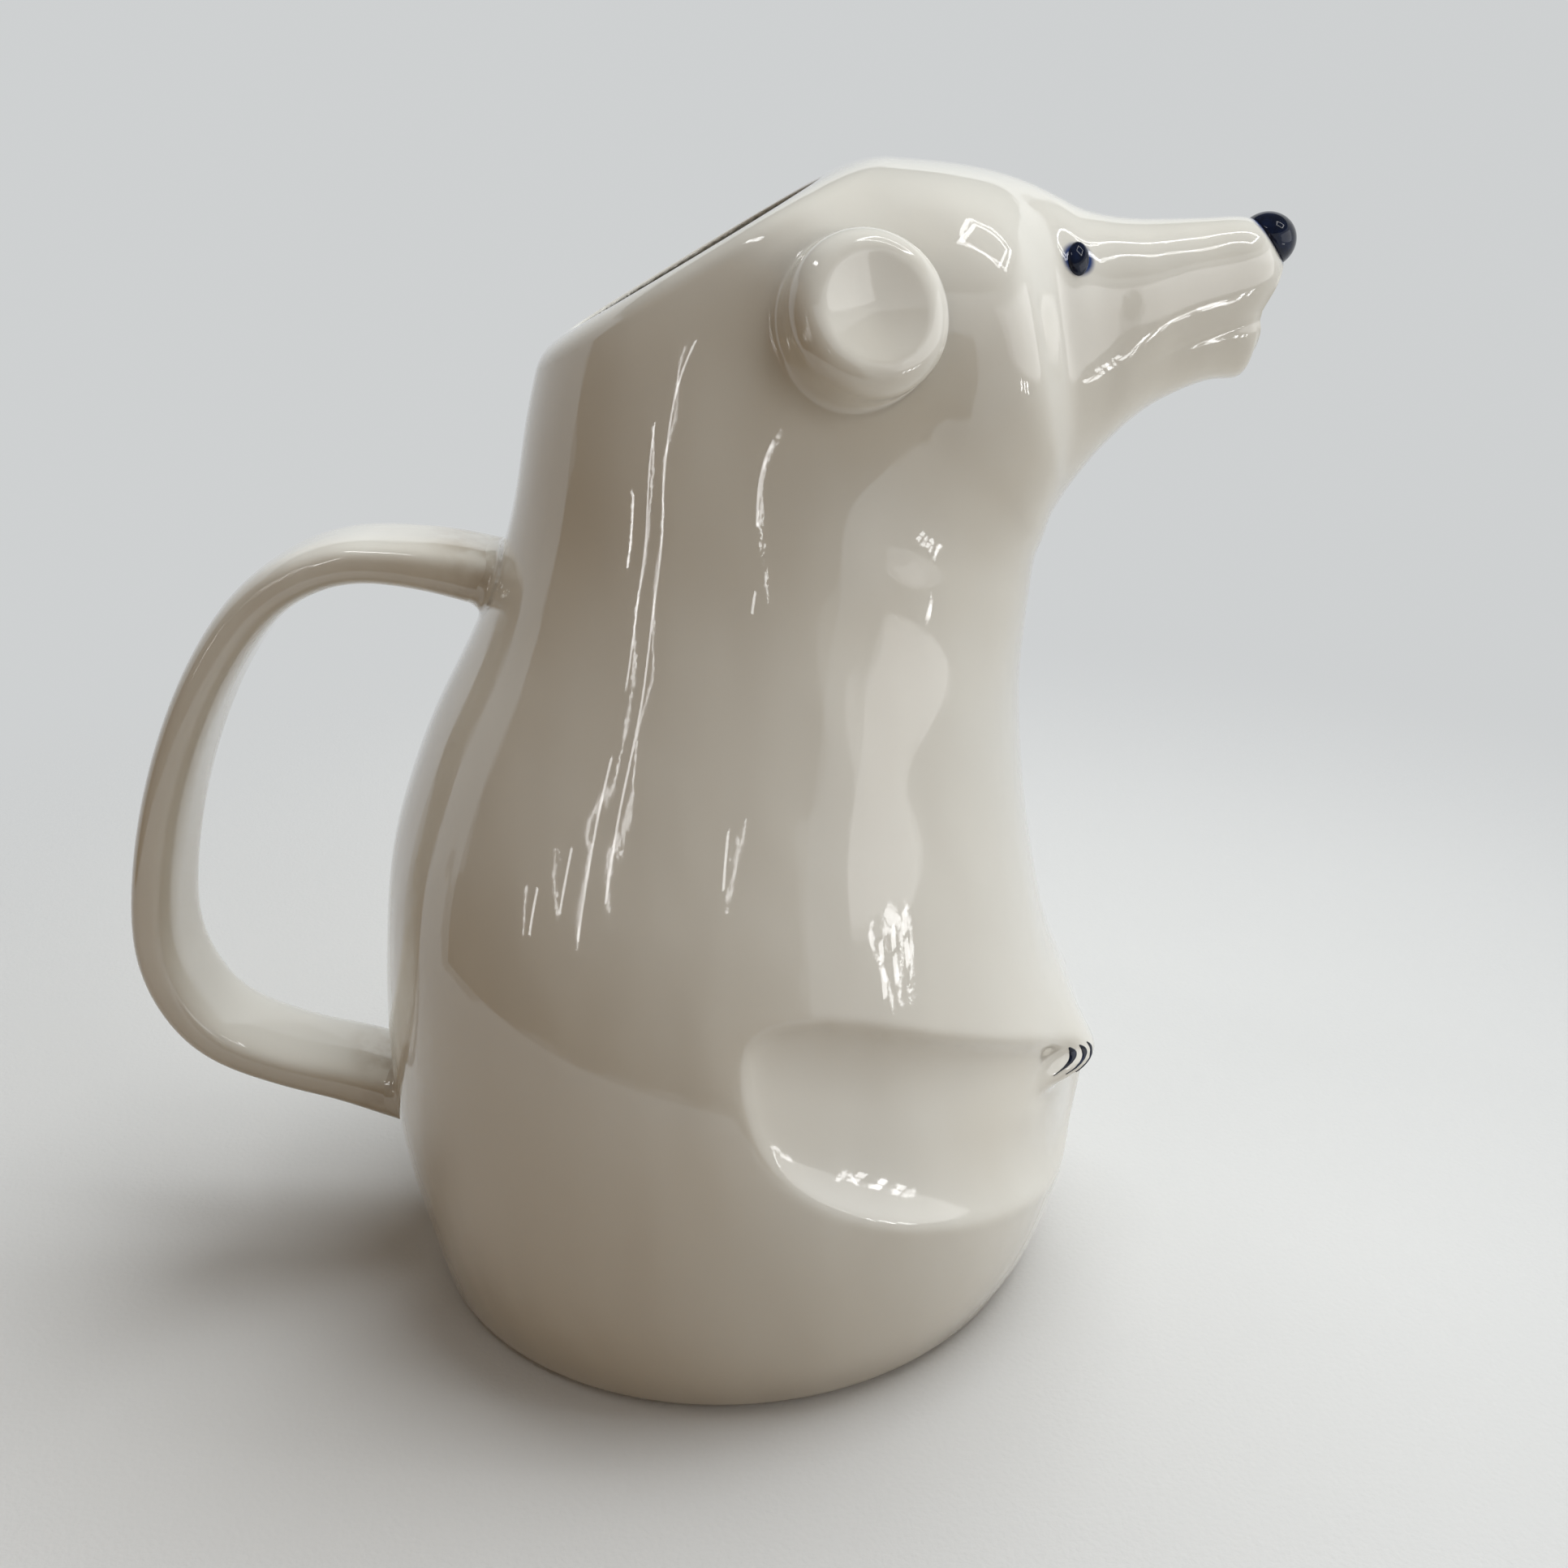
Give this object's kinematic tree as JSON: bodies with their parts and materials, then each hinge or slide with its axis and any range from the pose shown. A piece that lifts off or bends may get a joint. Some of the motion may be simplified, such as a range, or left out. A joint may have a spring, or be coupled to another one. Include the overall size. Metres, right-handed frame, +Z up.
{
  "type": "figural pitcher",
  "caption": "Glazed porcelain pitcher shaped as a sitting polar bear, filled at a slanted rim behind the head, pouring through the mouth, with a strap handle on the back.",
  "frame": {"origin": "on the floor, under the middle of the pitcher's box", "axes": "+X the way the bear looks, +Y towards its left side, +Z up"},
  "size_m": [0.2334, 0.1478, 0.2263],
  "materials": {
    "glaze": "clear gloss glaze over ivory porcelain",
    "seam": "gloss glaze over slip, stained brownish",
    "underglaze": "blue-black underglaze paint under gloss glaze"
  },
  "bodies": {
    "root": {"body_casting": "glaze", "handle": "glaze", "handle_lute_upper": "seam", "handle_lute_lower": "seam", "ear_right": "glaze", "ear_left": "glaze", "nose_tip": "underglaze", "eye_right": "underglaze", "eye_left": "underglaze", "claw_right_1": "underglaze", "claw_right_2": "underglaze", "claw_right_3": "underglaze", "claw_left_1": "underglaze", "claw_left_2": "underglaze", "claw_left_3": "underglaze"}
  },
  "joints": []
}
